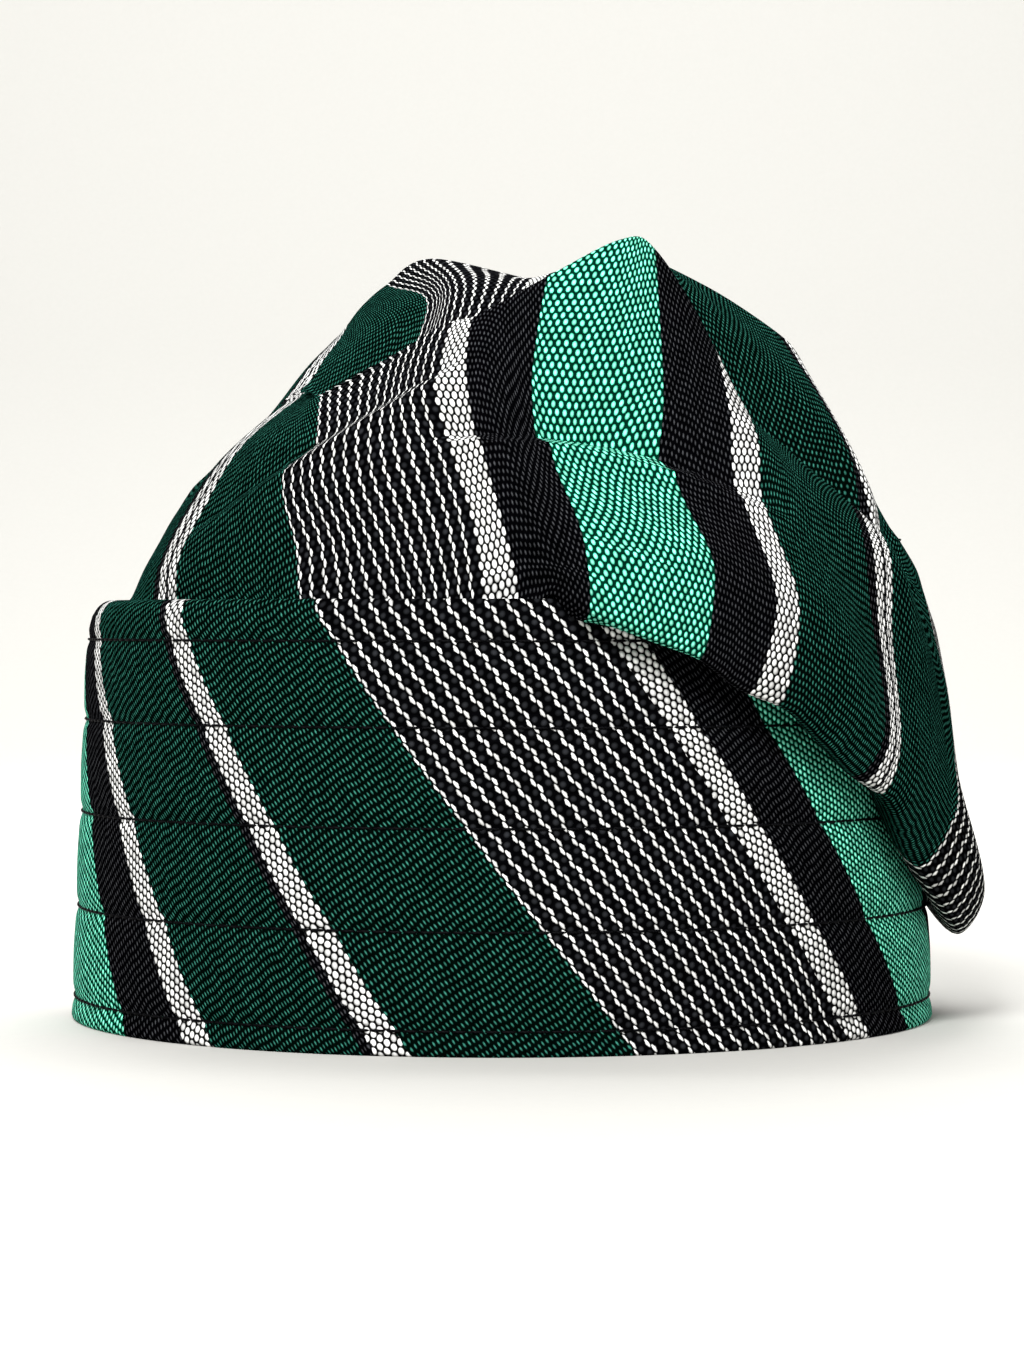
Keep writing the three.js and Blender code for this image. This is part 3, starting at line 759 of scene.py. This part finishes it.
def yarn_key(tree, warp, piece):
    """Which yarn a warp thread is, as the middle of its stretch of a ramp of the yarn table: the key
    steps at each stripe's first thread, and the pinstripe's black threads are the next yarn of the
    table."""
    first = first_threads(piece)
    order = [row[0] for row in YARNS]
    steps = np.diff([0.0] + [order.index(yarn) for yarn in STRIPE_COLOURS]).tolist()
    key = 0.5
    for start, step in zip(first, steps):
        passed = add(tree, "Math", (warp, start - JUST_BEFORE), operation="GREATER_THAN")
        key = add(tree, "Math", (passed, step, key), operation="MULTIPLY_ADD")
    start = first[PIN_STRIPE]
    four = add(tree, "Math", (warp, start + PIN_THREADS, start), operation="WRAP")
    dark = add(tree, "Math", (four, start + PIN_WHITES), operation="GREATER_THAN")
    key = add(tree, "Math", (in_pinstripe(tree, warp, piece), dark, key), operation="MULTIPLY_ADD")
    return add(tree, "Math", (key, float(len(YARNS))), operation="DIVIDE")


def nearest_grain(tree, place, size):
    """The grain that a place lies on: its middle, and its height there, one less the squared distance
    from its middle in grain sizes. Grains are ovals at every other crossing, so they are two sets, each
    two threads and two picks apart."""
    grains = []
    for centre in (0.5, 1.5):
        off = add(tree, "VectorMath", (place, (centre, centre, 0.0)), operation="SUBTRACT")
        near = add(tree, "VectorMath", (off, (1.0, 1.0, 1.0), (-1.0, -1.0, -1.0)), operation="WRAP")
        sized = add(tree, "VectorMath", (near, size), operation="DIVIDE")
        square = add(tree, "VectorMath", (sized, sized), operation="DOT_PRODUCT")
        high = add(tree, "Math", (1.0, square.outputs["Value"]), operation="SUBTRACT")
        grains.append((near, high))
    (even_near, even_high), (odd_near, odd_high) = grains
    even = add(tree, "Math", (even_high, odd_high), operation="GREATER_THAN")
    near = add(tree, "MixRGB", (even, odd_near, even_near))
    high = add(tree, "Math", (even_high, odd_high), operation="MAXIMUM")
    heart = add(tree, "VectorMath", (place, near), operation="SUBTRACT")
    return heart, add(tree, "Math", (high, 0.0), operation="MAXIMUM")


def woven_cotton(name, piece):
    """Warp-faced plain weave of lustrous cotton, as hand-woven strip cloth is: each warp thread shows as
    a row of oval grains, one pick on top and one below, staggered from thread to thread, with dark gaps
    between the grains, the weft below darkened by painted shade. Each grain's colour is shaded down its
    flanks and lit to a painted highlight on its top, which stands in for the lustre. Fine yarn reads as ribs
    across the cloth, thick yarn as separate beads. U counts warp threads and V counts picks."""
    material, tree, output = new_material(name)
    uv = add(tree, "UVMap", uv_map="threads")
    # hand weaving isn't even: threads and picks wander by part of their width over about ten of them
    noise = {"Vector": uv, "Scale": WANDER_CELLS, "Detail": 1.0}
    wander = add(tree, "TexNoise", noise, noise_dimensions="2D")
    drift = add(tree, "VectorMath", (wander.outputs["Color"], (0.5, 0.5, 0.5)), operation="SUBTRACT")
    moved = add(tree, "VectorMath", (drift, WANDER, uv), operation="MULTIPLY_ADD")
    part = add(tree, "SeparateXYZ", (moved,))
    threads = first_threads(piece)[-1]
    warp = add(tree, "Math", (part.outputs[0], threads, 0.0), operation="WRAP")
    column = pin_column(tree, warp, piece)
    here = yarn_key(tree, column, piece)
    grain_rows = [BAND_GRAINS.get(row[0], 1.0) if piece == BAND else 1.0 for row in YARNS]
    looks = {}
    # the gap's colour carries painted shade between grains, the top's colour a painted highlight
    for label, key, values in (
        ("size", here, [(row[1], row[2], rows, 1.0) for row, rows in zip(YARNS, grain_rows)]),
        ("gap", here, [colour(row[3]) for row in YARNS]),
        ("side", None, [colour(row[4]) for row in YARNS]),
        ("top", None, [colour(row[5]) for row in YARNS]),
    ):
        ramp = add(tree, "ValToRGB", (key,))
        ramp.color_ramp.interpolation = "CONSTANT"
        ramp.color_ramp.elements[0].color = values[0]
        for k in range(1, len(values)):
            ramp.color_ramp.elements.new(k / len(values)).color = values[k]
        looks[label] = ramp
    # on the band the thick yarns are beaten closer, with more grains to a pick
    rows = add(tree, "SeparateXYZ", (looks["size"],))
    row = add(tree, "Math", (part.outputs[1], rows.outputs[2]), operation="MULTIPLY")
    place = add(tree, "CombineXYZ", (column, row, 0.0))
    heart, height = nearest_grain(tree, place, looks["size"])
    # the grain's own thread gives its colour, so the stripes' edges are scalloped
    own = add(tree, "SeparateXYZ", (heart,))
    own_warp = add(tree, "Math", (own.outputs[0], threads, 0.0), operation="WRAP")
    own_key = yarn_key(tree, own_warp, piece)
    for label in ("side", "top"):
        tree.links.new(own_key.outputs[0], looks[label].inputs[0])
    # painted shade and highlight: each grain darkens into the gap's colour towards its foot and lightens to
    # its top's colour at its crown
    side = add(tree, "MapRange", (height, 0.0, GRAIN_PAINTED_SHADE_TO, 0.0, 1.0), interpolation_type="SMOOTHSTEP")
    top = add(tree, "MapRange", (height, GRAIN_PAINTED_HIGHLIGHT_FROM, 1.0, 0.0, 1.0))
    body = add(tree, "MixRGB", (side, looks["gap"], looks["side"]))
    grain_with_painted_highlight = add(tree, "MixRGB", (top, body, looks["top"]))
    chance = add(tree, "TexWhiteNoise", {"Vector": heart}, noise_dimensions="2D")
    tone = add(tree, "MapRange", (chance.outputs["Value"], 0.0, 1.0, *GRAIN_TONES))
    base = add(tree, "VectorMath", {0: grain_with_painted_highlight, "Scale": tone}, operation="SCALE")
    bump = add(tree, "Bump", {"Height": height, "Strength": 0.7, "Distance": GRAIN_RELIEF * MM})
    # no gloss of its own: the cotton's lustre is the painted highlight in the base colour
    cotton = {"Base Color": base, "Roughness": 0.8, "Specular IOR Level": 0.0, "Normal": bump}
    surface = add(tree, "BsdfPrincipled", cotton)
    tree.links.new(surface.outputs[0], output.inputs[0])
    return material


def sewing_thread():
    """Black polyester sewing thread, two-ply: a fine diagonal twist and a low sheen."""
    material, tree, output = new_material("black_polyester_thread")
    where = add(tree, "TexCoord")
    # the wave texture turns ten radians a metre along the diagonal at scale one
    turns = 2 * math.pi / (10 * THREAD_TWIST * MM)
    wave = {"Vector": where.outputs["Object"], "Scale": turns}
    ply = add(tree, "TexWave", wave, bands_direction="DIAGONAL")
    tone = add(tree, "MixRGB", (ply.outputs["Fac"], colour("#010102"), colour("#08080a")))
    polyester = {"Base Color": tone, "Roughness": 0.55, "Specular IOR Level": 0.03}
    surface = add(tree, "BsdfPrincipled", polyester)
    tree.links.new(surface.outputs[0], output.inputs[0])
    return material


def studio_paper():
    """Matte white background paper: a faint tooth and no gloss."""
    material, tree, output = new_material("white_background_paper")
    where = add(tree, "TexCoord")
    tooth = add(tree, "TexNoise", {"Vector": where.outputs["Object"], "Scale": 1 / (PAPER_TOOTH * MM)})
    tone = add(tree, "MixRGB", (tooth.outputs[0], colour("#b2b1ad"), colour("#b5b4b0")))
    surface = add(tree, "BsdfPrincipled", {"Base Color": tone, "Roughness": 0.95})
    tree.links.new(surface.outputs[0], output.inputs[0])
    return material


def add_paper():
    """Background paper: a profile that runs level under the cap, bends up by a quarter round behind it
    and goes on upright, carried straight across."""
    across = np.array([-1, 0, 1]) * PAPER_HALF_WIDTH
    bend = np.radians(np.linspace(0, 90, PAPER_BEND_ROWS + 1))
    behind = PAPER_BEND_FROM + PAPER_BEND
    y = np.concatenate([[PAPER_FRONT], PAPER_BEND_FROM + PAPER_BEND * np.sin(bend), [behind]])
    z = np.concatenate([[0.0], PAPER_BEND * (1 - np.cos(bend)), [PAPER_TOP]])
    points = np.stack(np.broadcast_arrays(across, y[:, None], z[:, None]), -1)
    index = np.arange(points.size // 3).reshape(points.shape[:2])
    faces = cells(index).reshape(-1, 4)
    paper = add_piece("background_paper", points.reshape(-1, 3), faces, studio_paper())


def add_lights():
    """A pale sky, and square soft lights turned to what they aim at."""
    world = bpy.data.worlds.new("studio")
    bpy.context.scene.world = world
    world.use_nodes = True
    sky = world.node_tree.nodes["Background"]
    sky.inputs["Color"].default_value = colour("#fffdf8")
    sky.inputs["Strength"].default_value = SKY_STRENGTH
    for label, place, aim, side, watts in LIGHTS:
        light = bpy.data.lights.new(label, "AREA")
        light.size = side * MM
        light.energy = watts
        lamp = bpy.data.objects.new(label, light)
        lamp.location = np.array(place) * MM
        way = np.array(aim) - np.array(place)
        lean = math.atan2(math.hypot(way[0], way[1]), -way[2])
        lamp.rotation_euler = (lean, 0, math.atan2(way[0], -way[1]) + math.pi)
        bpy.context.scene.collection.objects.link(lamp)


def add_camera():
    """The camera before the cap's front, dipped a little below level."""
    lens = bpy.data.cameras.new("camera")
    lens.sensor_width = CAMERA_SENSOR
    lens.lens = CAMERA_LENS
    lens.clip_start = CAMERA_NEAR * MM
    camera = bpy.data.objects.new("camera", lens)
    camera.location = band_axis() + np.array(CAMERA_PLACE) * MM
    camera.rotation_euler = (math.radians(90 - CAMERA_DIP_DEGREES), 0, 0)
    bpy.context.scene.collection.objects.link(camera)
    bpy.context.scene.camera = camera
    bpy.context.scene.view_settings.view_transform = "Standard"


points, faces, uvs = band_mesh()
band = add_piece("band_cloth", points, faces, woven_cotton("band_cotton", BAND), uvs)
points, faces, uvs = crown_mesh()
crown = add_piece("crown_cloth", points, faces, woven_cotton("crown_cotton", CROWN), uvs)
points, walls, caps = stitch_mesh()
stitches = add_piece("band_stitches", points, walls, sewing_thread(), more_faces=caps)
add_paper()
add_lights()
add_camera()

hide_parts("band")
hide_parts("crown")
for piece in (band, crown, stitches):
    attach(piece, "root")
